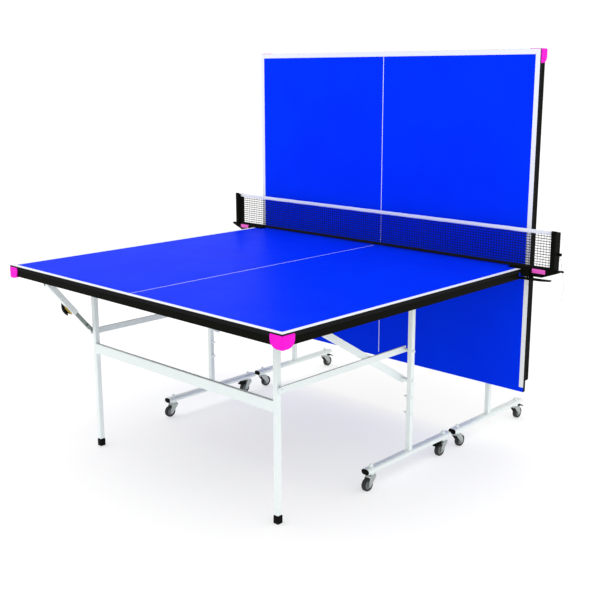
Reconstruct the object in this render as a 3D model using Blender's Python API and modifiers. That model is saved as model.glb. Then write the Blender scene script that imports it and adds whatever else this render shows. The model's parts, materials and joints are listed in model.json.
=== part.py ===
"""Ping pong table: two wheeled halves, the far one folded upright for solo play.

Metres. X across the table, Y along it, Z up, floor at Z = 0.
Each half is drawn lying flat, with its net edge at y = 0 and its playing end at
y = -LENGTH. The far half is the same drawing, folded up and turned half round.
"""

from math import atan2, cos, hypot, pi, radians, sin, sqrt

import bmesh
import bpy
from mathutils import Matrix, Vector

# ---------------------------------------------------------------- dimensions
LENGTH, WIDTH, HEIGHT = 1.370, 1.525, 0.760  # one half of the table
HALF_WIDTH = WIDTH / 2
BOARD = 0.016  # board thickness
GAP = 0.0003  # between pieces that lie on each other
UNDER = HEIGHT - BOARD - GAP  # highest level of the steelwork under the board
RIM_LOW, RIM_WIDE = 0.718, 0.020
RIM_IN = 0.002  # the rim's outer face lies this far inside the board's edge
RIM_STOP = 0.045  # the rim stops this far short of the net edge

NET_LINE = 0.5135  # the net line's place, so that the whole is centred on the origin
FAR_STAND = 0.061  # far uprights, measured from the net line

# pivots of one half, as (y, z)
P = (-0.494, 0.726)  # board on upright
Q = (-1.150, 0.726)  # leg on board
R = (-0.494, 0.484)  # link on upright
S = (-1.150, 0.484)  # link on leg
W = (-0.494, 0.366)  # diagonal brace on upright
V = (-1.085, 0.724)  # its free end under the board
U = (-1.336, 0.709)  # lock brace under the board

# planes in which the folding pieces pass each other, distances from the centre
LEG_X = (0.5070, 0.5270)
BRACE_X = (0.5292, 0.5352)
LINK_X = (0.5360, 0.5430)
POST_X = (0.5660, 0.5860)
SLEEVE_X = (-0.5530, -0.5310)
ROD_X = (-0.5470, -0.5335)
HANDLE_X = (-0.5670, -0.5570)

TUBE, FOOT_HALF = 0.020, 0.0118
LINK_TALL, BRACE_TALL = 0.025, 0.027
BAR_LOW, BAR_HIGH = 0.400, 0.440  # leg crossbar
PIN, HOLE = 0.0040, 0.0044  # radii of pivot pins and their holes
BOLT = 0.0070  # radius of a hexagonal bolt head

SLEEVE, SLEEVE_TALL = 0.175, 0.022  # lock brace's sleeve: length below its pivot, height
ROD_TALL, ROD_START, ROD_STOP, EYE_TALL = 0.0140, 0.018, 0.020, 0.0130
SLIDE = 0.0005  # clearance of the rod in its sleeve, each side

RAIL_X, RAIL_LOW, RAIL_HIGH = 0.576, 0.067, 0.089
RAIL_HALF, RAIL_WIDE = 0.262, 0.036
CASTER_Y = 0.228  # caster stems from the upright
STEM_Z = 0.060  # where a caster's swivel meets the rail's cup
WHEEL_R, WHEEL_WIDE, TRAIL = 0.025, 0.020, 0.022
PEDAL_Y, PEDAL_Z = 0.0175, 0.0545  # brake pedal's hinge, from the caster's stem

NET_Y = -0.013
NET_LOW, NET_TOP, NET_END, TAPE = 0.7620, 0.9185, 0.8800, 0.0150
POST_IN, POST_OUT, POST_FRONT, POST_BACK = 0.8805, 0.9005, 0.0170, 0.0250
CLAMP = (0.8000, NET_Y - 0.0235, 0.7255)  # clamp lever's hinge
CORD_Y = 0.0035
CORD_ROUTE = (  # (x, z) points, from the knob on the right post to the loose end
    (0.9050, 0.8222),
    (0.9065, 0.8130),
    (0.9120, 0.8010),
    (0.9170, 0.7740),
    (0.9210, 0.7510),
    (0.9270, 0.7200),
    (0.9290, 0.7030),
    (0.9260, 0.6730),
    (0.9200, 0.6420),
)

FINISHES = {  # colour, roughness, metallic
    "blue laminate": ((0.000, 0.040, 0.900), 0.45, 0.0),
    "black steel": ((0.015, 0.015, 0.014), 0.40, 0.2),
    "white steel": ((0.780, 0.840, 0.880), 0.35, 0.1),
    "pink plastic": ((0.940, 0.020, 0.680), 0.40, 0.0),
    "black plastic": ((0.020, 0.020, 0.020), 0.50, 0.0),
    "grey rubber": ((0.100, 0.105, 0.110), 0.70, 0.0),
    "zinc": ((0.560, 0.570, 0.580), 0.35, 1.0),
    "black net": ((0.015, 0.015, 0.015), 0.80, 0.0),
    "white tape": ((0.850, 0.870, 0.900), 0.80, 0.0),
}


# ------------------------------------------------------------------- helpers
def collection(name):
    made = bpy.data.collections.new(name)
    bpy.context.scene.collection.children.link(made)
    return made


def add(name, mesh, place):
    obj = bpy.data.objects.new(name, mesh)
    obj.matrix_basis = place
    PARTS.objects.link(obj)
    return obj


def mesh_of(name, bm):
    bm.normal_update()
    bmesh.ops.recalc_face_normals(bm, faces=bm.faces)
    mesh = bpy.data.meshes.new(name)
    bm.to_mesh(mesh)
    bm.free()
    mesh.shade_smooth()
    mesh.set_sharp_from_angle(angle=radians(35))
    return mesh


def paint(finish, *objs):
    """Give pieces the material of that finish, made the first time it is asked for."""
    material = bpy.data.materials.get(finish)
    if material is None:
        material = bpy.data.materials.new(finish)
        material.use_nodes = True
        shader = material.node_tree.nodes["Principled BSDF"]
        colour, roughness, metallic = FINISHES[finish]
        shader.inputs["Base Color"].default_value = (*colour, 1)
        shader.inputs["Roughness"].default_value = roughness
        shader.inputs["Metallic"].default_value = metallic
        material.diffuse_color = (*colour, 1)
    for obj in objs:
        obj.data.materials.clear()
        obj.data.materials.append(material)
    return objs


def rounded(obj, width, segments=1, angle=40):
    m = obj.modifiers.new("rounded", "BEVEL")
    m.width, m.segments = width, segments
    m.limit_method, m.angle_limit = "ANGLE", radians(angle)
    return obj


def box(name, x, y, z, edge=0.0, segments=2):
    """A block between the low and high values of x, y and z."""
    size = Vector(high - low for low, high in (x, y, z))
    centre = Vector((low + high) / 2 for low, high in (x, y, z))
    bm = bmesh.new()
    bmesh.ops.create_cube(bm, size=1)
    bmesh.ops.scale(bm, vec=size, verts=bm.verts)
    obj = add(name, mesh_of(name, bm), Matrix.Translation(centre))
    return rounded(obj, edge, segments) if edge else obj


def rod(name, start, end, radius, sides=16, end_radius=None):
    """A round bar, or a cone, from start to end."""
    start, along = Vector(start), Vector(end) - Vector(start)
    bm = bmesh.new()
    bmesh.ops.create_cone(
        bm,
        cap_ends=True,
        segments=sides,
        radius1=radius,
        radius2=radius if end_radius is None else end_radius,
        depth=along.length,
    )
    turn = Vector((0, 0, 1)).rotation_difference(along).to_matrix().to_4x4()
    return add(name, mesh_of(name, bm), Matrix.Translation(start + along / 2) @ turn)


def flat(name, outline, span, along="X", edge=0.0):
    """A closed outline drawn out over span: (y, z) points along X, or (x, z) along Y."""
    curve = bpy.data.curves.new(name, "CURVE")
    curve.dimensions, curve.fill_mode = "2D", "BOTH"
    curve.extrude = (span[1] - span[0]) / 2
    spline = curve.splines.new("POLY")
    spline.points.add(len(outline) - 1)
    for point, (a, b) in zip(spline.points, outline):
        point.co = (a, b, 0, 1)
    spline.use_cyclic_u = True
    drawn = bpy.data.objects.new(name, curve)
    bm = bmesh.new()
    bm.from_mesh(bpy.data.meshes.new_from_object(drawn))
    bpy.data.objects.remove(drawn)
    bmesh.ops.remove_doubles(bm, verts=bm.verts, dist=0.00001)
    middle = (span[0] + span[1]) / 2
    if along == "X":
        turn = Matrix(((0, 0, 1), (1, 0, 0), (0, 1, 0))).to_4x4()
        place = Matrix.Translation((middle, 0, 0)) @ turn
    else:
        turn = Matrix(((1, 0, 0), (0, 0, -1), (0, 1, 0))).to_4x4()
        place = Matrix.Translation((0, middle, 0)) @ turn
    obj = add(name, mesh_of(name, bm), place)
    return rounded(obj, edge) if edge else obj


def turned(name, profile, centre, steps=24):
    """A closed profile of (radius, distance) points turned round an axis along X."""
    bm = bmesh.new()
    points = [bm.verts.new((along, 0, r)) for r, along in profile]
    for i, point in enumerate(points):
        bm.edges.new((point, points[(i + 1) % len(points)]))
    mesh = bpy.data.meshes.new(name)
    bm.to_mesh(mesh)
    bm.free()
    obj = add(name, mesh, Matrix.Translation(centre))
    m = obj.modifiers.new("turn", "SCREW")
    m.axis, m.angle = "X", 2 * pi
    m.steps = m.render_steps = steps
    m.use_merge_vertices, m.merge_threshold = True, 0.00001
    m.use_normal_flip = True
    return obj


def bar_outline(a, b, tall, round_a=True, round_b=True, steps=8):
    """The outline of a flat bar from a to b, with round ends if asked for."""
    turn, r, out = atan2(b[1] - a[1], b[0] - a[0]), tall / 2, []
    for (p, q), is_round, first in ((b, round_b, -pi / 2), (a, round_a, pi / 2)):
        n = steps if is_round else 1
        for i in range(n + 1):
            t = turn + first + pi * i / n
            out.append((p + r * cos(t), q + r * sin(t)))
    return out


def combine(obj, kind, others):
    """Shape obj with others, which then move with it and are left out of the model."""
    for other in others:
        m = obj.modifiers.new(other.name[-24:], "BOOLEAN")
        m.operation, m.solver, m.object = kind, "EXACT", other
        other.parent, other.matrix_parent_inverse = obj, obj.matrix_basis.inverted()
        PARTS.objects.unlink(other)
        TOOLS.objects.link(other)
        other.display_type, other.hide_render = "WIRE", True
    return obj


def join(obj, *others):
    return combine(obj, "UNION", others)


def cut(obj, *others):
    return combine(obj, "DIFFERENCE", others)


def pivot(name, parent, at):
    """An empty on a joint's axis. Its location is its place with the half lying flat."""
    e = bpy.data.objects.new(name, None)
    e.empty_display_size = 0.04
    PARTS.objects.link(e)
    e.location = at
    if parent:
        hold(parent, e)
    return e


def hold(holder, *objs):
    """Make pieces, still where they were drawn, move with a pivot."""
    for obj in objs:
        obj.parent = holder
        obj.matrix_parent_inverse = Matrix.Translation(-holder.location)


def sided(x, side):
    """The same two distances from the centre on the right (1) or left (-1)."""
    return (x[0], x[1]) if side > 0 else (-x[1], -x[0])


def letter(side):
    return "r" if side > 0 else "l"


# ----------------------------------------------------------- one half's board
def ear(name, at, x, low=0.712):
    """A tapered tab that hangs under the board at pivot at."""
    outline = [
        (at[0] - 0.022, UNDER - 0.001),
        (at[0] - 0.010, low),
        (at[0] + 0.010, low),
        (at[0] + 0.022, UNDER - 0.001),
    ]
    return flat(name, outline, x)


def board_and_rim(half):
    board = box(
        half + "_board",
        (-HALF_WIDTH, HALF_WIDTH),
        (-LENGTH, 0),
        (HEIGHT - BOARD, HEIGHT),
        0.0012,
    )
    paint("blue laminate", board)
    out, end = HALF_WIDTH - RIM_IN, RIM_IN - LENGTH
    rim = box(half + "_rim", (-out, out), (end, -RIM_STOP), (RIM_LOW, UNDER), 0.002)
    inside = box(
        half + "_rim_inside",
        (RIM_WIDE - out, out - RIM_WIDE),
        (end + RIM_WIDE, 0.1),
        (RIM_LOW - 0.05, UNDER + 0.05),
    )
    cut(rim, inside)

    reach = (0.010 - out, out - 0.010)
    pieces = [
        box(f"{half}_strip_{key}", reach, y, (UNDER - thick, UNDER))
        for key, y, thick in (
            ("net", (-0.085, -0.055), 0.006),
            ("fold", (P[0] - 0.032, P[0] + 0.032), 0.003),
            ("leg", (Q[0] - 0.032, V[0] + 0.030), 0.003),
            ("end", (U[0] - 0.022, U[0] + 0.022), 0.006),
        )
    ]
    for side in (-1, 1):
        tag = f"{half}_{letter(side)}_"
        long_y, strip_z = (0.015 - LENGTH, -0.070), (UNDER - 0.0055, UNDER - 0.0002)
        pieces += [
            box(tag + "strip", sided((0.325, 0.355), side), long_y, strip_z),
            ear(tag + "fold_ear", P, sided((0.588, 0.593), side)),
            ear(tag + "leg_ear", Q, sided((0.499, 0.504), side)),
            rod(tag + "fold_pin", (side * 0.5980, *P), (side * 0.5645, *P), PIN),
            rod(tag + "fold_head", (side * 0.5920, *P), (side * 0.5970, *P), BOLT, 6),
            rod(tag + "leg_pin", (side * 0.4955, *Q), (side * 0.5268, *Q), PIN),
            rod(tag + "leg_head", (side * 0.4945, *Q), (side * 0.5000, *Q), BOLT, 6),
        ]
    pieces.append(ear(half + "_brace_ear", V, (0.5362, 0.5392)))  # no room beside the lock rod
    lock_ear = bar_outline(U, (U[0], UNDER - 0.001), 0.024, True, False)
    pieces += [
        flat(half + "_lock_ear", lock_ear, (-0.5575, -0.5535)),
        rod(half + "_lock_pin", (-0.5565, *U), (-0.5315, *U), PIN),
    ]
    join(rim, *pieces)
    paint("black steel", rim)
    return board, rim


def corner_pad(half, side):
    """The soft pad round a playing-end corner, lowest at the corner itself."""
    wide, low, high, thick = 0.055, 0.7085, 0.7555, 0.026
    out_x, out_y = HALF_WIDTH + 0.002, -LENGTH - 0.002
    name = f"{half}_corner_pad_{letter(side)}"
    x, y = sided((out_x - wide - 0.002, out_x), side), (out_y, out_y + wide + 0.002)
    pad = box(name, x, y, (low, high), 0.005)

    # each face's outline: a full quarter round from the corner up to the pad's side
    start, rise = low - 0.0015, high - low - 0.0090
    turns = [pi / 2 * i / 10 for i in range(11)]
    arc = [(wide * sin(t) ** 0.8, start + rise * (1 - max(cos(t), 0) ** 0.8)) for t in turns]
    face = [(-0.01, start)] + arc + [(wide, high + 0.01), (-0.01, high + 0.01)]
    over_y = flat(name + "_side_face", [(out_y + d, z) for d, z in face], (-0.8, 0.8))
    end_face = [(side * (out_x - d), z - 0.0002) for d, z in face]
    over_x = flat(name + "_end_face", end_face, (-1.5, -1.2), "Y")
    combine(pad, "INTERSECT", (over_y, over_x))

    room_z = (HEIGHT - BOARD - GAP, HEIGHT + 0.01)
    rim_x, rim_y = HALF_WIDTH - RIM_IN + GAP, RIM_IN - LENGTH - GAP
    board_room = box(
        name + "_board_room",
        sided((0.60, HALF_WIDTH + GAP), side),
        (-LENGTH - GAP, -1.2),
        room_z,
    )
    rim_room = box(
        name + "_rim_room", sided((0.60, rim_x), side), (rim_y, -1.2), (RIM_LOW - GAP, HEIGHT)
    )
    inside = box(
        name + "_inside", sided((0.60, out_x - thick), side), (out_y + thick, -1.2), (0.70, HEIGHT)
    )
    cut(pad, board_room, rim_room, inside)
    paint("pink plastic", pad)
    return pad


# --------------------------------------------------------------- legs, links
def leg_frame(half):
    """Two square legs and their crossbar in one piece, with holes for the pivots."""
    y = (Q[0] - TUBE / 2, Q[0] + TUBE / 2)
    z, middle = (0.0303, Q[1] + TUBE / 2), sum(LEG_X) / 2
    left = box(half + "_leg_l", sided(LEG_X, -1), y, z, 0.002)
    right = box(half + "_leg_frame", sided(LEG_X, 1), y, z, 0.002)
    bar = box(
        half + "_leg_bar",
        (-0.515, 0.515),
        (y[0] + 0.0005, y[0] + 0.0155),
        (BAR_LOW, BAR_HIGH),
        0.002,
    )
    join(right, bar, left)
    holes = [
        rod(f"{half}_leg_hole_{key}", (x - 0.02, *at), (x + 0.02, *at), HOLE)
        for key, x, at in (("q_l", -middle, Q), ("q_r", middle, Q), ("s_r", middle, S))
    ]
    cut(right, *holes)
    paint("white steel", right)
    return right


def foot(half, side):
    middle, h = side * sum(LEG_X) / 2, FOOT_HALF
    name = f"{half}_foot_{letter(side)}"
    cap = box(
        name, (middle - h, middle + h), (Q[0] - h, Q[0] + h), (0, 0.030), 0.0025
    )
    paint("black plastic", cap)
    return cap


def link(half, side):
    """Bar from the upright to the leg, which keeps the leg upright as the board turns."""
    name = f"{half}_link_{letter(side)}"
    end = (R[0] + 0.012, R[1])
    bar = flat(name, bar_outline(S, end, LINK_TALL, True, False), sided(LINK_X, side), edge=0.0015)
    mouth = box(
        name + "_mouth",
        sided((LINK_X[0] + 0.0025, LINK_X[1] + 0.01), side),
        (R[0] + 0.004, R[0] + 0.02),
        (R[1] - 0.0065, R[1] + 0.0065),
    )
    cut(bar, mouth)
    pieces = [
        rod(name + "_pin", (side * 0.5370, *R), (side * 0.5892, *R), PIN),
        rod(name + "_spacer", (side * 0.5420, *R), (side * 0.5655, *R), 0.0060),
        rod(name + "_nut", (side * 0.5864, *R), (side * 0.5905, *R), BOLT, 6),
        rod(name + "_bolt", (side * 0.5420, *S), (side * 0.5452, *S), 0.0060, 6),
    ]
    if side > 0:
        pieces += [
            rod(name + "_leg_pin", (0.5370, *S), (0.5090, *S), PIN),
            rod(name + "_leg_spacer", (0.5370, *S), (0.5275, *S), 0.0075),
        ]
    join(bar, *pieces)
    paint("white steel", bar)
    return bar


def diagonal(half, side):
    """Brace that props the board off the upright."""
    name = f"{half}_brace_{letter(side)}"
    turn = atan2(V[1] - W[1], V[0] - W[0])
    foot_end = (W[0] - 0.008 * cos(turn), W[1] - 0.008 * sin(turn))
    bar = flat(name, bar_outline(foot_end, V, BRACE_TALL), sided(BRACE_X, side), edge=0.0015)
    join(
        bar,
        rod(name + "_pin", (side * 0.5340, *W), (side * 0.5892, *W), PIN),
        rod(name + "_spacer", (side * 0.5340, *W), (side * 0.5655, *W), 0.0080),
        rod(name + "_nut", (side * 0.5864, *W), (side * 0.5905, *W), BOLT, 6),
    )
    paint("white steel", bar)
    return bar


# ----------------------------------------------------------------- lock brace
LOCK_TURN = atan2(S[1] - U[1], S[0] - U[0])
LOCK_LONG = hypot(S[1] - U[1], S[0] - U[0])


def along_lock(distance, off=0.0):
    """A point (y, z) on the lock brace, off to the side by off."""
    c, s = cos(LOCK_TURN), sin(LOCK_TURN)
    return (U[0] + distance * c - off * s, U[1] + distance * s + off * c)


HUB = along_lock(SLEEVE - 0.007, -0.010)  # release handle's hinge on the sleeve


def lock_sleeve(half):
    name = half + "_lock_sleeve"
    outline = bar_outline(along_lock(0), along_lock(SLEEVE), SLEEVE_TALL, True, False)
    sleeve = flat(name, outline, SLEEVE_X, edge=0.0015)
    room = bar_outline(
        along_lock(ROD_START - 0.003),
        along_lock(SLEEVE + 0.02),
        ROD_TALL + 2 * SLIDE,
        False,
        False,
    )
    bore = flat(name + "_bore", room, (ROD_X[0] - SLIDE, ROD_X[1] + SLIDE))
    hole = rod(name + "_hole", (-0.50, *U), (-0.60, *U), HOLE)
    cut(sleeve, bore, hole)
    join(sleeve, rod(name + "_hinge", (-0.5520, *HUB), (-0.5680, *HUB), 0.0030))
    paint("white steel", sleeve)
    return sleeve


def lock_rod(half):
    """The bar that slides in the sleeve, with a flat eye between leg and link."""
    name = half + "_lock_rod"
    bar = flat(
        name,
        bar_outline(
            along_lock(ROD_START), along_lock(LOCK_LONG - ROD_STOP), ROD_TALL, False, False
        ),
        ROD_X,
    )
    eye = bar_outline(along_lock(LOCK_LONG - 0.045), S, EYE_TALL, False, True)
    plate = flat(name + "_eye", eye, (-BRACE_X[1], -BRACE_X[0]))
    join(bar, plate)
    cut(bar, rod(name + "_eye_hole", (-0.52, *S), (-0.56, *S), HOLE))
    paint("zinc", bar)
    return bar


def lock_handle(half):
    """A plate arm with a crescent grip, hinged at the sleeve's lower end."""
    name = half + "_lock_handle"
    arm = flat(name, bar_outline(HUB, along_lock(SLEEVE - 0.035, -0.0155), 0.010), HANDLE_X)
    tip = Vector(along_lock(SLEEVE - 0.064, -0.0060))
    end = Vector(along_lock(SLEEVE - 0.008, -0.0255))
    across = Vector((tip.y - end.y, end.x - tip.x)).normalized()
    grip = []
    for bulge, ways in ((-0.0095, range(9)), (0.0070, range(7, 0, -1))):
        for i in ways:
            t = i / 8
            grip.append(tip.lerp(end, t) + across * bulge * 4 * t * (1 - t))
    join(arm, flat(name + "_grip", grip, HANDLE_X))
    cut(arm, rod(name + "_hole", (-0.50, *HUB), (-0.60, *HUB), 0.0033))
    paint("black plastic", arm)
    return arm


# -------------------------------------------------------------------- T stand
def stand(half, side):
    name = f"{half}_stand_{letter(side)}"
    x, y = side * RAIL_X, P[0]
    upright = box(
        name,
        sided(POST_X, side),
        (y - TUBE / 2, y + TUBE / 2),
        (RAIL_LOW + 0.008, P[1] + TUBE / 2),
        0.002,
    )
    tall, middle = RAIL_HIGH - RAIL_LOW, (RAIL_HIGH + RAIL_LOW) / 2
    half_flat = (RAIL_WIDE - tall) / 2
    section = bar_outline((x - half_flat, middle), (x + half_flat, middle), tall)
    pieces = [flat(name + "_rail", section, (y - RAIL_HALF, y + RAIL_HALF), "Y", 0.0015)]
    for end in (-1, 1):
        tag, at = f"{name}_{'net' if end > 0 else 'out'}_", y + end * CASTER_Y
        pieces += [
            rod(tag + "cup", (x, at, STEM_Z), (x, at, RAIL_LOW + 0.003), 0.0125),
            rod(tag + "nut", (x, at, RAIL_HIGH - 0.003), (x, at, 0.0950), 0.0085, 6),
            rod(tag + "cap", (x, at, 0.0945), (x, at, 0.1010), 0.0070, 12, 0.0030),
        ]
    for k, z in enumerate((0.300, 0.235)):
        inner, outer = side * POST_X[0], side * POST_X[1]
        pieces += [
            rod(f"{name}_peg{k}", (outer, y, z), (inner - side * 0.016, y, z), 0.0040),
            rod(f"{name}_head{k}", (inner, y, z), (outer + side * 0.003, y, z), 0.0055, 6),
        ]
    join(upright, *pieces)
    holes = [
        rod(f"{name}_hole_{key}", (side * 0.560, *at), (side * 0.595, *at), HOLE)
        for key, at in (("p", P), ("r", R), ("w", W))
    ]
    cut(upright, *holes)
    paint("white steel", upright)
    return upright


# -------------------------------------------------------------------- casters
def fork(name, x, y, heading):
    """A swivelling fork. heading: +1 or -1, the way along Y that its wheel trails."""
    axle = (y + heading * TRAIL, WHEEL_R)
    cheek = [
        (y - heading * 0.014, 0.0585),
        (y + heading * 0.016, 0.0585),
        (axle[0] + heading * 0.008, 0.030),
        (axle[0] + heading * 0.007, 0.019),
        (axle[0] - heading * 0.005, 0.017),
        (y - heading * 0.012, 0.050),
    ]
    plate = rod(name, (x, y, 0.0545), (x, y, STEM_Z - GAP), 0.0165, 24)
    crown_y = sorted((y - heading * 0.0125, y + heading * 0.0150))
    join(
        plate,
        flat(name + "_cheek_l", cheek, (x - 0.0142, x - 0.0122)),
        flat(name + "_cheek_r", cheek, (x + 0.0122, x + 0.0142)),
        rod(name + "_axle", (x - 0.0165, *axle), (x + 0.0165, *axle), 0.0032),
        box(name + "_crown", (x - 0.0135, x + 0.0135), crown_y, (0.0535, 0.0570)),
    )
    paint("zinc", plate)
    return plate


def wheel(name, centre):
    h, r = WHEEL_WIDE / 2, WHEEL_R
    tread = [(r - 0.002, 0.001 - h), (r, 0.004 - h), (r, h - 0.004), (r - 0.002, h - 0.001)]
    hub = [(0.018, h - 0.003), (0.009, h), (0.0036, h), (0.0036, -h), (0.009, -h)]
    tyre = turned(name, tread + hub + [(0.018, 0.003 - h)], centre)
    paint("grey rubber", tyre)
    return tyre


def pedal(name, x, y, heading):
    outline = [
        (y + heading * forward, z)
        for forward, z in (
            (PEDAL_Y, 0.0525),
            (PEDAL_Y, 0.0565),
            (0.0380, 0.0600),
            (0.0560, 0.0500),
            (0.0545, 0.0468),
            (0.0375, 0.0562),
        )
    ]
    lever = flat(name, outline, (x - 0.0115, x + 0.0115), edge=0.0006)
    paint("black plastic", lever)
    return lever


# ----------------------------------------------------------------- whole half
def brace_fold():
    """How far the diagonal brace turns while the board turns up a quarter."""
    flat_turn = atan2(V[1] - W[1], W[0] - V[0])
    long, drop, rise = hypot(V[1] - W[1], W[0] - V[0]), P[1] - V[1], P[1] - W[1]
    slid = sqrt(long**2 - drop**2) - rise
    return atan2(rise + slid, drop) - flat_turn


def lock_fold():
    """How far the lock brace turns, and how much longer it gets, in the same quarter."""
    eye = (Q[0] + Q[1] - S[1] - U[0], Q[1] - U[1])
    return atan2(eye[1], eye[0]) - LOCK_TURN, hypot(*eye) - LOCK_LONG


def half_table(half, braked):
    """One half, lying flat. braked: the end (-1 outer, 1 net side) whose casters have brakes."""
    root = pivot(half + "_stand_pivot", None, (0, 0, 0))
    top = pivot(half + "_top_pivot", root, (0, *P))
    legs = pivot(half + "_leg_pivot", top, (0, *Q))
    links = pivot(half + "_link_pivot", root, (0, *R))
    braces = pivot(half + "_brace_pivot", root, (0, *W))
    sleeve = pivot(half + "_lock_pivot", top, (0, *U))
    bar = pivot(half + "_rod_pivot", sleeve, (0, *U))
    handle = pivot(half + "_handle_pivot", sleeve, (0, *HUB))

    hold(top, *board_and_rim(half), corner_pad(half, -1), corner_pad(half, 1))
    hold(legs, leg_frame(half), foot(half, -1), foot(half, 1))
    hold(links, link(half, -1), link(half, 1))
    hold(braces, diagonal(half, -1), diagonal(half, 1))
    hold(sleeve, lock_sleeve(half))
    hold(bar, lock_rod(half))
    hold(handle, lock_handle(half))
    hold(root, stand(half, -1), stand(half, 1))

    heading = -1  # every wheel trails towards the playing end
    for side in (-1, 1):
        for end in (-1, 1):
            tag = f"{letter(side)}_{'net' if end > 0 else 'out'}"
            x, y = side * RAIL_X, P[0] + end * CASTER_Y
            swivel = pivot(f"{half}_swivel_{tag}", root, (x, y, STEM_Z))
            axle = (x, y + heading * TRAIL, WHEEL_R)
            spin = pivot(f"{half}_spin_{tag}", swivel, axle)
            hold(swivel, fork(f"{half}_fork_{tag}", x, y, heading))
            hold(spin, wheel(f"{half}_wheel_{tag}", axle))
            if end == braked:
                press = pivot(f"{half}_press_{tag}", swivel, (x, y + heading * PEDAL_Y, PEDAL_Z))
                hold(press, pedal(f"{half}_brake_{tag}", x, y, heading))
    return {"stand": root, "top": top, "legs": legs, "links": links,
            "braces": braces, "sleeve": sleeve, "rod": bar}


def fold_up(pivots):
    """Turn a half's board upright, with everything that follows it."""
    lock_turn, reach = lock_fold()
    pivots["top"].rotation_euler.x = -pi / 2
    pivots["legs"].rotation_euler.x = pi / 2
    pivots["links"].rotation_euler.x = -pi / 2
    pivots["braces"].rotation_euler.x = -brace_fold()
    pivots["sleeve"].rotation_euler.x = lock_turn
    pivots["rod"].location += Vector((0, reach * cos(LOCK_TURN), reach * sin(LOCK_TURN)))


# ------------------------------------------------------------------------ net
def net_post(side):
    """Post and bracket at one end of the net, which grip the board's edge from above."""
    name = "net_post_" + letter(side)
    edge = HALF_WIDTH + GAP
    front, back = NET_Y - POST_FRONT, NET_Y + POST_BACK
    x = sided((POST_IN, POST_OUT), side)
    post = box(name, x, (front, back), (0.7640, 0.9150), 0.0025)
    lip = box(name + "_lip", x, (front, front + 0.010), (0.8900, 0.9215), 0.0015)
    bracket = [
        (edge + 0.003, 0.7650),
        (0.9280, 0.7685),
        (0.9280, 0.7645),
        (0.9050, 0.7550),
        (0.8620, 0.7390),
        (0.8480, 0.7345),
        (0.8000, 0.7345),
        (edge + 0.003, 0.7420),
    ]
    body_y = (NET_Y - 0.0160, NET_Y + 0.0110)
    body = flat(name + "_bracket", [(side * x, z) for x, z in bracket], body_y, "Y", 0.001)
    jaw = box(
        name + "_jaw",
        sided((edge - 0.058, 0.7990), side),
        (NET_Y - 0.0280, NET_Y + 0.0125),
        (HEIGHT + GAP, HEIGHT + 0.0053),
        0.0008,
        1,
    )
    cheek = box(
        name + "_cheek", sided((edge, 0.7990), side), (-0.0420, 0.0010), (0.7322, 0.7625), 0.0015
    )
    lug = box(
        name + "_lug",
        sided((CLAMP[0] - 0.007, CLAMP[0] + 0.007), side),
        (NET_Y - 0.0140, NET_Y - 0.0100),
        (CLAMP[2] - 0.007, 0.7450),
        0.001,
        1,
    )
    hinge = (side * CLAMP[0], CLAMP[2])
    stub = rod(
        name + "_stub", (hinge[0], NET_Y - 0.0120, hinge[1]), (hinge[0], NET_Y - 0.0340, hinge[1]),
        0.0030,
    )
    knob = rod(
        name + "_knob", (side * (POST_OUT - 0.002), CORD_Y - 0.003, 0.8290),
        (side * (POST_OUT + 0.012), CORD_Y - 0.003, 0.8290), 0.0062,
    )
    tip = rod(
        name + "_tip", (side * 0.9260, NET_Y, 0.7660), (side * 0.9335, NET_Y, 0.7660), 0.0040, 12
    )
    slit = box(
        name + "_slit",
        sided((0.69, NET_END + GAP), side),
        (NET_Y - 0.0020, NET_Y + 0.0020),
        (NET_LOW - GAP, 0.95),
    )
    screws = [
        rod(
            f"{name}_screw{k}",
            (side * x, body_y[0] + 0.004, z),
            (side * x, body_y[0] - 0.0012, z),
            0.0025,
            12,
        )
        for k, (x, z) in enumerate(((0.7790, 0.7450), (0.7890, 0.7460)))
    ]
    join(post, lip, body, *screws, jaw, cheek, lug, stub, knob, tip)
    cut(post, slit)
    paint("black steel", post)
    return post


def clamp_lever(side):
    """The lever under the board whose pad presses up against it."""
    name, edge = "net_clamp_" + letter(side), HALF_WIDTH
    y = (NET_Y - 0.0320, NET_Y - 0.0150)
    outline = [
        (edge - 0.052, 0.7180),
        (CLAMP[0], 0.7210),
        (0.8550, 0.7230),
        (0.8930, 0.7265),
        (0.8930, 0.7315),
        (0.8550, 0.7300),
        (CLAMP[0], 0.7295),
        (edge - 0.052, 0.7255),
    ]
    lever = flat(name, [(side * x, z) for x, z in outline], y, "Y", 0.001)
    pad = box(
        name + "_pad", sided((edge - 0.050, edge - 0.030), side), (y[0] + 0.001, y[1] - 0.001),
        (0.7200, 0.7434), 0.002, 1,
    )
    start, end = (side * CLAMP[0], y[0] + 0.001, CLAMP[2]), (side * CLAMP[0], y[1], CLAMP[2])
    join(lever, pad, rod(name + "_hub", start, end, 0.0056, 20))
    hole_y = (y[0] - 0.01, y[1] + 0.01)
    hole = rod(name + "_hole", (start[0], hole_y[0], start[2]), (start[0], hole_y[1], start[2]), 0.0034)
    cut(lever, hole)
    paint("black plastic", lever)
    return lever


def smooth_points(route, spacing):
    """Points about spacing apart on a smooth curve through the route's own points."""
    knots = [Vector(p) for p in route]
    knots = [2 * knots[0] - knots[1]] + knots + [2 * knots[-1] - knots[-2]]
    out = []
    for a, b, c, d in zip(knots, knots[1:], knots[2:], knots[3:]):
        n = max(1, round((c - b).length / spacing))
        for i in range(n):
            t = i / n
            out.append(
                b + (c - a) * t / 2 + (2 * a - 5 * b + 4 * c - d) * t**2 / 2
                + (3 * b - a - 3 * c + d) * t**3 / 2
            )
    return out + [knots[-2]]


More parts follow.
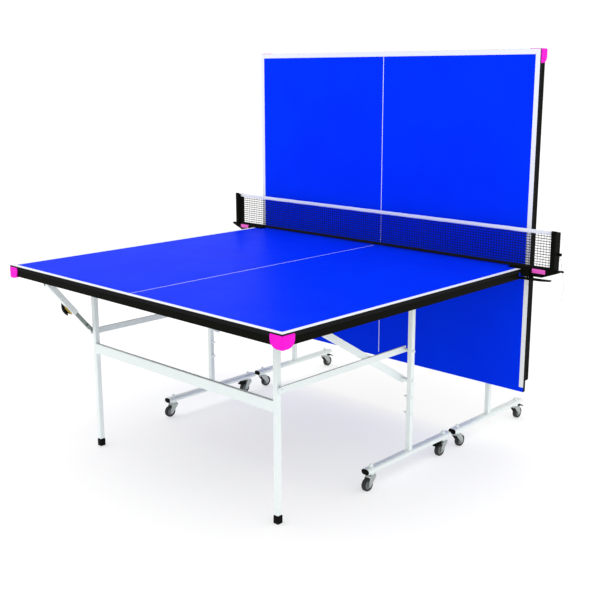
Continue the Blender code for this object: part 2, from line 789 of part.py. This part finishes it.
def net_cord():
    points = smooth_points([(x, CORD_Y, z) for x, z in CORD_ROUTE], 0.005)
    curve = bpy.data.curves.new("net_cord", "CURVE")
    curve.dimensions = "3D"
    curve.bevel_depth, curve.bevel_resolution, curve.use_fill_caps = 0.001, 2, True
    spline = curve.splines.new("POLY")
    spline.points.add(len(points) - 1)
    for knot, place in zip(spline.points, points):
        knot.co = (*place, 1)
    cord = bpy.data.objects.new("net_cord", curve)
    PARTS.objects.link(cord)
    paint("white tape", cord)
    return cord


def net_set(top):
    """Net, tape, posts, clamps and cord, on the near board's net edge."""
    mesh = box(
        "net_mesh",
        (-NET_END, NET_END),
        (NET_Y - 0.0005, NET_Y + 0.0005),
        (NET_LOW, NET_TOP - TAPE - GAP),
    )
    tape = box(
        "net_tape",
        (-NET_END, NET_END),
        (NET_Y - 0.0016, NET_Y + 0.0016),
        (NET_TOP - TAPE, NET_TOP),
        0.0010,
    )
    paint("black net", mesh)
    paint("white tape", tape)
    hold(top, mesh, tape, net_cord())
    for side in (-1, 1):
        hold(top, net_post(side))
        at = (side * CLAMP[0], CLAMP[1], CLAMP[2])
        hold(pivot("clamp_pivot_" + letter(side), top, at), clamp_lever(side))


# ----------------------------------------------------------------------- main
for old in list(bpy.data.objects):
    bpy.data.objects.remove(old, do_unlink=True)
PARTS = collection("ping_pong_table")
TOOLS = collection("shaping_tools")

near = half_table("near", braked=1)
net_set(near["top"])
near["stand"].location = (0, NET_LINE, 0)

far = half_table("far", braked=-1)
fold_up(far)
far["stand"].location = (0, NET_LINE + FAR_STAND + P[0], 0)
far["stand"].rotation_euler = (0, 0, pi)
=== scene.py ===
"""Looks of the ping pong table: laminate, powder coat, zinc, rubber, netting, tape and cord.

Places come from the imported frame's boxes and joints, or repeat the model's own named sizes.
Metres, +Z up, floor at Z = 0. The near half is the level one, on the -Y side of the net.
"""

import json
from math import ceil, cos, pi, radians, sin

import bmesh
import bpy
from mathutils import Matrix, Vector


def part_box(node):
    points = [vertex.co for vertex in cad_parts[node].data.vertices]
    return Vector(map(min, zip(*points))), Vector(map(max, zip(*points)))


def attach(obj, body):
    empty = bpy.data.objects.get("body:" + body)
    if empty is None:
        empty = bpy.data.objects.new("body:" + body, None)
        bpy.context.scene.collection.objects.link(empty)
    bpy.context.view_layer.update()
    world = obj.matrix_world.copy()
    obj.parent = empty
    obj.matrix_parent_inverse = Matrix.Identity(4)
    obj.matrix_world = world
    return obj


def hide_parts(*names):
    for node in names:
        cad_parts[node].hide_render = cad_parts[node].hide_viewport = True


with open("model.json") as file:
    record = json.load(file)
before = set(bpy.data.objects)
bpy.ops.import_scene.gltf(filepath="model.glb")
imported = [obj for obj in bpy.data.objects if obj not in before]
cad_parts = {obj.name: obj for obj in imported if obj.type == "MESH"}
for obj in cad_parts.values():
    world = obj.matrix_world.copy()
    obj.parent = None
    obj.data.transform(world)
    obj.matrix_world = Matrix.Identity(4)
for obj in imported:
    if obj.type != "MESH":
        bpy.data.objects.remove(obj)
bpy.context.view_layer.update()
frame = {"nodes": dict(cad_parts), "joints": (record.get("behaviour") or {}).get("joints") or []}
NODES = frame["nodes"]
JOINTS = {joint["name"]: joint for joint in frame["joints"]}
HALVES = (("near", 1), ("far", -1))  # the far half's steelwork is turned half round
SIDES = (("l", -1), ("r", 1))
NET_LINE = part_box("near_board")[1][1]  # Y of the near board's edge at the net

# --------------------------------------------------------------------- camera
CAMERA_AT = (2.6229, NET_LINE - 3.2373, 1.4866)
YAW, PITCH, ROLL = radians(-42.2041), radians(12.6011), radians(0.2356)


def make_camera():
    """A camera that stands to the front right, a little above the net."""
    camera = bpy.data.objects.new("camera", bpy.data.cameras.new("camera"))
    bpy.context.scene.collection.objects.link(camera)
    bpy.context.scene.camera = camera
    ahead = Vector((sin(YAW) * cos(PITCH), cos(YAW) * cos(PITCH), -sin(PITCH)))
    right = ahead.cross(Vector((0, 0, 1))).normalized()
    axes = Matrix((right, right.cross(ahead), -ahead)).transposed().to_4x4()
    camera.matrix_world = Matrix.Translation(CAMERA_AT) @ axes @ Matrix.Rotation(ROLL, 4, "Z")
    camera.data.sensor_width, camera.data.lens = 36, 56.25
    camera.data.shift_x, camera.data.shift_y = -0.0417, -0.0193


# ------------------------------------------------------------------ materials
class Look:
    """A Principled material, with short calls that add nodes to it.

    Sizes in its patterns are metres: they follow the piece's own coordinates at rest.
    """

    def __init__(self, name, colour, rough=0.5, metal=0.0, **inputs):
        self.mat = bpy.data.materials.new(name)
        self.mat.use_nodes = True
        self.tree = self.mat.node_tree
        self.bsdf = self.tree.nodes["Principled BSDF"]
        self.bsdf.inputs["Base Color"].default_value = (*colour, 1)
        self.bsdf.inputs["Roughness"].default_value = rough
        self.bsdf.inputs["Metallic"].default_value = metal
        for key, value in inputs.items():
            self.bsdf.inputs[key.replace("_", " ")].default_value = value
        self.mat.diffuse_color = (*colour, 1)
        self.place = self.tree.nodes.new("ShaderNodeTexCoord")

    def feed(self, source, target):
        """Link a socket to an input, or set the input to a number or colour."""
        if isinstance(source, bpy.types.NodeSocket):
            self.tree.links.new(source, target)
        else:
            target.default_value = source

    def split(self, output="Object"):
        """The x, y and z sockets of a coordinate output."""
        node = self.tree.nodes.new("ShaderNodeSeparateXYZ")
        self.feed(self.place.outputs[output], node.inputs[0])
        return node.outputs

    def math(self, kind, a, b=0.0):
        """One step of arithmetic on sockets or numbers."""
        node = self.tree.nodes.new("ShaderNodeMath")
        node.operation = kind
        self.feed(a, node.inputs[0])
        self.feed(b, node.inputs[1])
        return node.outputs[0]

    def mix(self, share, a, b):
        """Colour a where share is 0 and b where it is 1."""
        node = self.tree.nodes.new("ShaderNodeMix")
        node.data_type = "RGBA"
        self.feed(share, node.inputs[0])
        for value, target in ((a, node.inputs[6]), (b, node.inputs[7])):
            self.feed(value if isinstance(value, bpy.types.NodeSocket) else (*value, 1), target)
        return node.outputs[2]

    def between(self, share, low, high):
        """A number that goes from low to high as share goes from 0 to 1."""
        node = self.tree.nodes.new("ShaderNodeMapRange")
        self.feed(share, node.inputs["Value"])
        node.inputs["To Min"].default_value = low
        node.inputs["To Max"].default_value = high
        return node.outputs[0]

    def noise(self, size, detail=2.0, stretch=(1, 1, 1)):
        """Noise from 0 to 1, whose blotches are about size across."""
        scaled = self.tree.nodes.new("ShaderNodeMapping")
        self.feed(self.place.outputs["Object"], scaled.inputs["Vector"])
        scaled.inputs["Scale"].default_value = stretch
        node = self.tree.nodes.new("ShaderNodeTexNoise")
        self.feed(scaled.outputs[0], node.inputs["Vector"])
        node.inputs["Scale"].default_value = 1 / size
        node.inputs["Detail"].default_value = detail
        return node.outputs[0]

    def stripes(self, size, along):
        """Soft stripes from 0 to 1 across X, Y, Z or the DIAGONAL, size apart."""
        node = self.tree.nodes.new("ShaderNodeTexWave")
        node.bands_direction = along
        self.feed(self.place.outputs["Object"], node.inputs["Vector"])
        node.inputs["Scale"].default_value = pi / 10 / size
        return node.outputs["Fac"]

    def bump(self, height, depth):
        """Raise the surface by height, a share of depth."""
        node = self.tree.nodes.new("ShaderNodeBump")
        self.feed(height, node.inputs["Height"])
        node.inputs["Distance"].default_value = depth
        before = self.bsdf.inputs["Normal"].links
        if before:
            self.feed(before[0].from_socket, node.inputs["Normal"])
        self.feed(node.outputs[0], self.bsdf.inputs["Normal"])

    def colour(self, source):
        self.feed(source, self.bsdf.inputs["Base Color"])

    def rough(self, source):
        self.feed(source, self.bsdf.inputs["Roughness"])


def laminate(half):
    """A board: satin blue top with painted white lines, black edges, plain dark underside."""
    blue, deep = (0.0005, 0.040, 0.970), (0.0005, 0.026, 0.880)
    border, centre_line = 0.020, 0.0030
    low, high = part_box(half + "_board")
    look = Look(half + " board laminate", blue, 0.42, Specular_IOR_Level=0.006)
    x, y, z = look.split()
    normal = look.split("Normal")
    if half == "near":
        from_end, facing, long = look.math("SUBTRACT", y, low[1]), normal[2], high[1] - low[1]
    else:
        from_end, long = look.math("SUBTRACT", high[2], z), high[2] - low[2]
        facing = look.math("MULTIPLY", normal[1], -1.0)
    aside = look.math("ABSOLUTE", x)
    lines = look.math(
        "MAXIMUM",
        look.math("GREATER_THAN", aside, high[0] - border),
        look.math("LESS_THAN", aside, centre_line / 2),
    )
    lines = look.math("MULTIPLY", lines, look.math("LESS_THAN", from_end, long - border))
    lines = look.math("MAXIMUM", lines, look.math("LESS_THAN", from_end, border))
    top = look.math("GREATER_THAN", facing, 0.5)
    under = look.math("LESS_THAN", facing, -0.5)

    field = look.mix(look.noise(0.25), blue, deep)
    painted = look.mix(lines, field, (0.88, 0.90, 0.92))
    edge = look.mix(under, (0.012, 0.012, 0.013), (0.045, 0.040, 0.036))
    look.colour(look.mix(top, edge, painted))
    grain = look.noise(0.0012)
    look.rough(look.between(look.noise(0.08), 0.36, 0.46))
    look.bump(grain, 0.00004)
    look.bump(look.math("MULTIPLY", lines, top), 0.00008)
    return look.mat


def powder_coat(name, colour, rough, gloss=0.4):
    """Sprayed and baked paint on steel tube: orange peel, and slightly uneven gloss."""
    look = Look(name, colour, rough, Specular_IOR_Level=gloss)
    duller = tuple(0.93 * c for c in colour)
    look.colour(look.mix(look.noise(0.12, 3), colour, duller))
    look.rough(look.between(look.noise(0.03), rough - 0.06, rough + 0.08))
    look.bump(look.noise(0.0022), 0.00012)
    return look.mat


def moulded(name, colour, rough, gloss, grain=0.0010):
    """Injection moulded plastic with a fine leather grain."""
    look = Look(name, colour, rough, Specular_IOR_Level=gloss)
    cells = look.tree.nodes.new("ShaderNodeTexVoronoi")
    look.feed(look.place.outputs["Object"], cells.inputs["Vector"])
    cells.inputs["Scale"].default_value = 1 / grain
    look.colour(look.mix(look.noise(0.05), colour, tuple(0.9 * c for c in colour)))
    look.rough(look.between(look.noise(0.02), rough - 0.05, rough + 0.07))
    look.bump(cells.outputs["Distance"], 0.00008)
    return look.mat


def zinc(name, colour, rough=0.28):
    """Plated pressed steel: crystalline patches and fine drawing lines."""
    look = Look(name, colour, rough, 1.0)
    look.colour(look.mix(look.noise(0.004, 4), colour, tuple(0.72 * c for c in colour)))
    look.rough(look.between(look.noise(0.006, 3), rough - 0.08, rough + 0.16))
    look.bump(look.noise(0.0006, 2, (1, 1, 6)), 0.00005)
    return look.mat


def tyre():
    """A caster's wheel: dark rubber with fine moulding lines round a lighter nylon hub."""
    look = Look("grey rubber", (0.022, 0.024, 0.025), 0.6, Specular_IOR_Level=0.25)
    out = [look.math("SUBTRACT", c, 0.5) for c in look.split("Generated")[1:]]
    squares = [look.math("POWER", c, 2.0) for c in out]
    radius = look.math("SQRT", look.math("ADD", *squares))
    hub = look.math("LESS_THAN", radius, 0.34)  # of the wheel's diameter
    dark = look.mix(look.noise(0.01), (0.018, 0.020, 0.021), (0.032, 0.035, 0.036))
    look.colour(look.mix(hub, dark, (0.15, 0.16, 0.16)))
    look.rough(look.between(hub, 0.62, 0.38))
    look.bump(look.noise(0.0009), 0.00010)
    look.bump(look.stripes(0.0025, "X"), 0.00015)
    return look.mat


def cotton(name, colour, thread, depth):
    """Plain-woven cotton, with its threads along X and Z."""
    look = Look(name, colour, 0.85, Specular_IOR_Level=0.08, Sheen_Weight=0.03)
    weave = look.math("MULTIPLY", look.stripes(thread, "X"), look.stripes(thread, "Z"))
    look.colour(look.mix(weave, tuple(0.88 * c for c in colour), colour))
    look.bump(weave, depth)
    look.bump(look.noise(0.010), depth)
    return look.mat


def braid(name, colour):
    """Fine braided cord."""
    look = Look(name, colour, 0.8, Specular_IOR_Level=0.06, Sheen_Weight=0.02)
    twist = look.stripes(0.0012, "DIAGONAL")
    look.colour(look.mix(twist, tuple(0.75 * c for c in colour), colour))
    look.bump(twist, 0.00020)
    return look.mat


WHITE_COAT = powder_coat("white powder coat", (0.86, 0.93, 0.92), 0.38)
BLACK_COAT = powder_coat("black powder coat", (0.0050, 0.0050, 0.0035), 0.42, 0.015)
GREY_STEEL = zinc("dull plated steel", (0.30, 0.34, 0.32), 0.38)
ZINC = zinc("zinc plate", (0.50, 0.54, 0.52))
GOLD = zinc("yellow zinc plate", (0.86, 0.58, 0.10), 0.30)
PINK = moulded("pink plastic", (0.94, 0.008, 0.66), 0.38, 0.05)
LABEL = Look("pink label film", (0.80, 0.09, 0.55), 0.30).mat
BLACK_PLASTIC = moulded("black plastic", (0.006, 0.006, 0.005), 0.45, 0.03)
TYRE = tyre()
NETTING = braid("black netting", (0.008, 0.008, 0.009))
BAND = cotton("black band cloth", (0.010, 0.010, 0.011), 0.0011, 0.00015)
TAPE = cotton("white tape cloth", (0.92, 0.95, 0.96), 0.0011, 0.00018)
CORD = braid("white braided cord", (0.80, 0.82, 0.84))
BOARDS = {half: laminate(half) for half, way in HALVES}

LOOKS = (  # the first word that a node's name holds settles its look
    ("corner_pad", PINK),
    ("rim", BLACK_COAT),
    ("net_post", BLACK_COAT),
    ("net_clamp", BLACK_PLASTIC),
    ("foot", BLACK_PLASTIC),
    ("handle", BLACK_PLASTIC),
    ("brake", BLACK_PLASTIC),
    ("wheel", TYRE),
    ("fork", ZINC),
    ("lock_rod", GREY_STEEL),
    ("near_board", BOARDS["near"]),
    ("far_board", BOARDS["far"]),
    ("", WHITE_COAT),
)


def dress(obj, material):
    """Give all of an object one material."""
    if not obj.material_slots:
        obj.data.materials.append(material)
    for slot in obj.material_slots:
        slot.material = material
    return obj


def piece(name, vertices, faces, material, body, smooth=True):
    """A new mesh that rides on a body."""
    mesh = bpy.data.meshes.new(name)
    mesh.from_pydata([tuple(v) for v in vertices], [], faces)
    mesh.validate()
    bm = bmesh.new()
    bm.from_mesh(mesh)
    bmesh.ops.recalc_face_normals(bm, faces=bm.faces)
    bm.to_mesh(mesh)
    bm.free()
    if smooth:
        mesh.shade_smooth()
        mesh.set_sharp_from_angle(angle=radians(40))
    obj = bpy.data.objects.new(name, mesh)
    bpy.context.scene.collection.objects.link(obj)
    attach(dress(obj, material), body)
    return obj


def layered(rings):
    """Vertices and faces of a skin over closed rings of equal length, capped at both ends."""
    n = len(rings[0])
    vertices = [point for ring in rings for point in ring]
    faces = [
        (k * n + i, k * n + (i + 1) % n, (k + 1) * n + (i + 1) % n, (k + 1) * n + i)
        for k in range(len(rings) - 1)
        for i in range(n)
    ]
    faces += [tuple(reversed(range(n))), tuple(range((len(rings) - 1) * n, len(rings) * n))]
    return vertices, faces


def gather(skins):
    """The vertices and faces of several skins as one."""
    vertices, faces = [], []
    for more, skin in skins:
        faces += [tuple(len(vertices) + i for i in face) for face in skin]
        vertices += more
    return vertices, faces


def tube(points, radius, sides):
    """Rings round a path in space, for layered()."""
    rings, side = [], None
    for i, point in enumerate(points):
        along = (points[min(i + 1, len(points) - 1)] - points[max(i - 1, 0)]).normalized()
        side = along.orthogonal() if side is None else side - along * side.dot(along)
        side.normalize()
        up = along.cross(side)
        turns = [2 * pi * k / sides for k in range(sides)]
        rings.append([point + radius * (side * cos(t) + up * sin(t)) for t in turns])
    return rings


def rounded_outline(wide, tall, radius, steps=5):
    """(a, b) points round a rectangle with round corners, about its centre."""
    corners = ((1, 1, 0), (-1, 1, pi / 2), (-1, -1, pi), (1, -1, 3 * pi / 2))
    out = []
    for sa, sb, first in corners:
        for i in range(steps + 1):
            t = first + pi / 2 * i / steps
            a = sa * (wide / 2 - radius) + radius * cos(t)
            out.append((a, sb * (tall / 2 - radius) + radius * sin(t)))
    return out


# ------------------------------------------------------------------------ net
TAPE_LOW, TAPE_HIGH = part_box("net_tape")
MESH_LOW, MESH_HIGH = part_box("net_mesh")
NET_Y = (MESH_LOW[1] + MESH_HIGH[1]) / 2
NET_LONG = MESH_HIGH[0] - MESH_LOW[0]
BAND_TALL = 0.0135
CLOTH = 0.0004  # thickness of the tape and of the bottom band
ROWS, COLUMNS = 13, 141  # meshes up and along the net
TUCK_LOW, TUCK_HIGH = 0.003, 0.004  # how far the strands reach into the band and the tape
END_GAP = 0.001  # between a post's slit and the strands' ends
TWINE_ALONG, TWINE_UP = 0.00135, 0.00090  # half the thickness of the two ways' strands
WEAVE, DIP, LEAN = 0.0003, 0.0002, 0.0003  # how far a strand sways across, down and along
KNOT = 0.0012  # half a knot's size


def folded_strip(name, material, edge, fold, half_thick):
    """Cloth folded in two along the net, from its free edges' height to its fold's."""
    up = 1 if fold > edge else -1
    hem, steps, spacing = 0.004, 8, 0.020
    section = [(-half_thick * 0.8, edge), (-half_thick * 0.9, edge + up * hem)]
    for i in range(steps + 1):
        t = pi * i / steps
        section.append((-half_thick * cos(t), fold - up * half_thick * (1 - sin(t))))
    section += [(half_thick * 0.9, edge + up * hem), (half_thick * 0.8, edge)]
    count = ceil(NET_LONG / spacing)
    vertices, n = [], len(section)
    for k in range(count + 1):
        x = MESH_LOW[0] + NET_LONG * k / count
        sway = 0.0003 * sin(x * 31) + 0.0002 * sin(x * 83 + 1)
        slack = 0.0004 * (1 - cos(x * 47)) * up / 2
        vertices += [(x, NET_Y + y + sway, z - slack) for y, z in section]
    faces = [
        (k * n + i, k * n + i + 1, (k + 1) * n + i + 1, (k + 1) * n + i)
        for k in range(count)
        for i in range(n - 1)
    ]
    strip = piece(name, vertices, faces, material, "near_top")
    solid = strip.modifiers.new("cloth", "SOLIDIFY")
    solid.thickness, solid.offset = CLOTH, 0
    return strip


def strand(points, a, b):
    """Vertices and faces of a four-sided strand, whose section has corners a, b, -a and -b."""
    return layered([[p + a, p + b, p - a, p - b] for p in points])


def knot(centre):
    """Vertices and faces of an eight-sided knot."""
    r, faces = KNOT, []
    corners = ((r, 0, 0), (0, r, 0), (-r, 0, 0), (0, -r, 0), (0, 0, r), (0, 0, -r))
    for i in range(4):
        j = (i + 1) % 4
        faces += [(i, j, 4), (j, i, 5)]
    return [centre + Vector(corner) for corner in corners], faces


def netting():
    """Thin strands that pass over and under each other, with a knot at each crossing."""
    low, high = MESH_LOW[2] + BAND_TALL - TUCK_LOW, MESH_HIGH[2] + TUCK_HIGH
    step_x, step_z = NET_LONG / COLUMNS, (high - low) / ROWS
    skins = []
    for row in range(1, ROWS):
        z = low + row * step_z
        points = []
        for k in range(2 * COLUMNS + 1):
            x = MESH_LOW[0] + END_GAP + (NET_LONG - 2 * END_GAP) * k / (2 * COLUMNS)
            dip = DIP * (k % 2) * (1 if (k // 2 + row) % 2 else -1)
            points.append(Vector((x, NET_Y + WEAVE * cos(pi * (k / 2 + row)), z + dip)))
        skins.append(strand(points, Vector((0, TWINE_ALONG, 0)), Vector((0, 0, TWINE_ALONG))))
    for column in range(1, COLUMNS):
        x = MESH_LOW[0] + column * step_x
        points = []
        for k in range(2 * ROWS + 1):
            lean = LEAN * (k % 2) * (1 if (k // 2 + column) % 2 else -1)
            y = NET_Y - WEAVE * cos(pi * (k / 2 + column))
            points.append(Vector((x + lean, y, low + (high - low) * k / (2 * ROWS))))
        skins.append(strand(points, Vector((TWINE_UP, 0, 0)), Vector((0, TWINE_UP, 0))))
    for row in range(1, ROWS):
        for column in range(1, COLUMNS):
            place = (MESH_LOW[0] + column * step_x, NET_Y, low + row * step_z)
            skins.append(knot(Vector(place)))
    net = piece("net_netting", *gather(skins), NETTING, "near_top", smooth=False)
    return net, (NET_LONG, high - low)


def make_net():
    """The tape, the netting and the band, which take the place of the two plain panels."""
    tape_half, band_half = (TAPE_HIGH[1] - TAPE_LOW[1]) / 2 - CLOTH, 0.0012
    tape_fold, band_fold = TAPE_HIGH[2] - 0.0003, MESH_LOW[2] + 0.0006
    tape = folded_strip("net_top_tape", TAPE, TAPE_LOW[2], tape_fold, tape_half)
    band = folded_strip("net_bottom_band", BAND, MESH_LOW[2] + BAND_TALL, band_fold, band_half)
    net, flat = netting()
    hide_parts("net_tape")
    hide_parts("net_mesh")


# ----------------------------------------------------------------------- cord
CORD_Y = NET_LINE + 0.0035
CORD_LONG, CORD_THICK = 0.184, 0.002
CORD_ROUTE = (  # (x, z) points, from the knob on the right post to the loose end
    (0.9050, 0.8222),
    (0.9065, 0.8130),
    (0.9120, 0.8010),
    (0.9170, 0.7740),
    (0.9210, 0.7510),
    (0.9270, 0.7200),
    (0.9290, 0.7030),
    (0.9260, 0.6730),
    (0.9200, 0.6420),
)


def smooth_points(route, spacing):
    """Points about spacing apart on a smooth curve through the route's own points."""
    knots = [Vector(p) for p in route]
    knots = [2 * knots[0] - knots[1]] + knots + [2 * knots[-1] - knots[-2]]
    out = []
    for a, b, c, d in zip(knots, knots[1:], knots[2:], knots[3:]):
        n = max(1, round((c - b).length / spacing))
        for i in range(n):
            t = i / n
            bend = (2 * a - 5 * b + 4 * c - d) * t**2 + (3 * b - a - 3 * c + d) * t**3
            out.append(b + (c - a) * t / 2 + bend / 2)
    return out + [knots[-2]]


def make_cord():
    """The cord that tightens the net, hanging from the right post's knob."""
    points = smooth_points([(x, CORD_Y, z) for x, z in CORD_ROUTE], 0.005)
    curve = bpy.data.curves.new("net_tightening_cord", "CURVE")
    curve.dimensions = "3D"
    curve.bevel_depth, curve.bevel_resolution, curve.use_fill_caps = CORD_THICK / 2, 4, True
    spline = curve.splines.new("POLY")
    spline.points.add(len(points) - 1)
    for control, place in zip(spline.points, points):
        control.co = (*place, 1)
    cord = bpy.data.objects.new("net_tightening_cord", curve)
    bpy.context.scene.collection.objects.link(cord)
    curve.materials.append(CORD)
    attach(cord, "near_top")
    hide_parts("net_cord")


# --------------------------------------------------------------- small pieces
BRACKET_FRONT = NET_Y - 0.0160  # Y of the net brackets' front faces
LABEL_X, LABEL_Z = 0.835, 0.7575
LABEL_SIZE = (0.058, 0.017, 0.0020)  # wide, tall, corners' radius
SCREW_FRONT = BRACKET_FRONT - 0.0012  # Y where the model's plain screw heads end
SCREW_PLACES = ((0.7790, 0.7450), (0.7890, 0.7460))
SCREW_RADIUS = 0.0028
RAIL_X, RAIL_Z = 0.576, 0.078  # middle of an oval rail
CAP_SIZE = (0.0350, 0.0210, 0.0104)  # wide, tall, corners' radius
SPRING_X, SPRING_OFF = -0.5445, -0.0146  # beside and below the lock brace's axis
SPRING_START, SPRING_END = 0.126, 0.166  # along the lock brace from its upper pivot
COIL, WIRE, TURNS = 0.0028, 0.0006, 18


def lid(centre, way, outline, profile):
    """Rings of a lid on a face towards +Y or -Y, with each ring's (height, scale) in profile."""
    return [
        [centre + Vector((a * scale, way * height, b * scale)) for a, b in outline]
        for height, scale in profile
    ]


def bracket_label(tag, side):
    """A blank label on the front of a net bracket."""
    centre = Vector((side * LABEL_X, BRACKET_FRONT, LABEL_Z))
    outline = rounded_outline(*LABEL_SIZE)
    rings = lid(centre, -1, outline, ((-0.0004, 1.0), (0.0004, 1.0), (0.0006, 0.97)))
    piece("net_label_" + tag, *layered(rings), LABEL, "near_top")


def screw_ring(share, notch, steps=16):
    """(x, z) points round a screw's head, with four of them drawn in by notch."""
    ring = []
    for i in range(steps):
        reach = SCREW_RADIUS * share / (notch if i % 4 == 0 else 1.0)
        ring.append((reach * cos(2 * pi * i / steps), reach * sin(2 * pi * i / steps)))
    return ring


def bracket_screws(tag, side):
    """Two pan heads with a cross recess on a net bracket."""
    profile = (  # height, share of the radius, notch
        (-0.0004, 1.0, 1.0),
        (0.0004, 1.0, 1.0),
        (0.0011, 0.86, 1.0),
        (0.0015, 0.50, 1.6),
        (0.0008, 0.30, 1.0),
    )
    skins = []
    for x, z in SCREW_PLACES:
        centre = Vector((side * x, SCREW_FRONT, z))
        rings = [
            [centre + Vector((a, -height, b)) for a, b in screw_ring(share, notch)]
            for height, share, notch in profile
        ]
        skins.append(layered(rings))
    piece("net_screws_" + tag, *gather(skins), ZINC, "near_top")


def rail_cap(half, way, tag, side, end):
    """The black plug in a rail's end: a domed lid with a small lip."""
    low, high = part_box(f"{half}_stand_{tag}")
    face = high[1] if way * end > 0 else low[1]
    centre = Vector((way * side * RAIL_X, face, RAIL_Z))
    outline = rounded_outline(*CAP_SIZE, 8)
    profile = ((-0.001, 0.99), (0.0010, 1.0), (0.0020, 0.96), (0.0030, 0.85), (0.0036, 0.55))
    rings = lid(centre, way * end, outline, profile)
    name = f"{half}_rail_cap_{tag}_{'net' if end > 0 else 'out'}"
    piece(name, *layered(rings), BLACK_PLASTIC, half + "_stand")


def lock_frame(half, way):
    """Matrix of a lock brace at rest: X across the table, Y down the brace, Z off its upper side."""
    turn, slide = JOINTS[half + "_lock_turn"], JOINTS[half + "_lock_slide"]
    across = Vector((way, 0, 0))
    along = way * Vector(slide["axis"]).normalized()
    axes = Matrix((across, along, across.cross(along))).transposed().to_4x4()
    return Matrix.Translation(turn["pos_m"]) @ axes


def lock_spring(half, way):
    """The yellow coil spring along the lock brace's lower side, with a hook at each end."""
    place, steps = lock_frame(half, way), 14
    points = [(0, SPRING_START - 0.007, 0.0030), (0, SPRING_START - 0.004, 0.0015)]
    for i in range(TURNS * steps + 1):
        t = 2 * pi * i / steps
        y = SPRING_START + (SPRING_END - SPRING_START) * i / (TURNS * steps)
        points.append((COIL * cos(t), y, COIL * sin(t)))
    points += [(0, SPRING_END + 0.004, 0.0015), (0, SPRING_END + 0.007, 0.0040)]
    middle = Vector((SPRING_X, 0, SPRING_OFF))
    rings = tube([place @ (middle + Vector(point)) for point in points], WIRE, 6)
    spring = piece(half + "_lock_spring", *layered(rings), GOLD, half + "_sleeve")


# ---------------------------------------------------------------------- stage
def area_light(name, at, towards, size, power):
    """A round soft light, size across, that points from at towards a place."""
    data = bpy.data.lights.new(name, "AREA")
    data.shape, data.size, data.energy = "DISK", size, power
    light = bpy.data.objects.new(name, data)
    bpy.context.scene.collection.objects.link(light)
    light.location = at
    aim = Vector(towards) - Vector(at)
    light.rotation_euler = aim.to_track_quat("-Z", "Y").to_euler()


def make_stage():
    """A pale floor, a white world and two soft lights."""
    bm = bmesh.new()
    bmesh.ops.create_grid(bm, x_segments=1, y_segments=1, size=60)
    mesh = bpy.data.meshes.new("floor")
    bm.to_mesh(mesh)
    bm.free()
    floor = bpy.data.objects.new("floor", mesh)
    floor.location.z = -0.0005
    bpy.context.scene.collection.objects.link(floor)
    pale = Look(
        "pale floor",
        (0.60, 0.60, 0.60),
        0.9,
        Specular_IOR_Level=0.0,
        Emission_Color=(1, 1, 1, 1),
        Emission_Strength=0.52,
    )
    dress(floor, pale.mat)

    world = bpy.data.worlds.new("studio")
    bpy.context.scene.world = world
    world.use_nodes = True
    background = world.node_tree.nodes["Background"]
    background.inputs["Color"].default_value = (1.0, 1.0, 1.0, 1)
    background.inputs["Strength"].default_value = 1.02
    area_light("key", (-2.5, -2.6, 3.6), (0, 0, 0.7), 3.0, 16)
    area_light("fill", (3.4, -1.0, 2.4), (0, 0.2, 0.8), 2.5, 8)
    bpy.context.scene.view_settings.view_transform = "Standard"


# ----------------------------------------------------------------------- main
make_camera()
make_cord()
make_net()
for node_name, node in NODES.items():
    dress(node, next(look for word, look in LOOKS if word in node_name))
for tag, side in SIDES:
    bracket_label(tag, side)
    bracket_screws(tag, side)
for half, way in HALVES:
    lock_spring(half, way)
    for tag, side in SIDES:
        rail_cap(half, way, tag, side, -1)
        rail_cap(half, way, tag, side, 1)
make_stage()
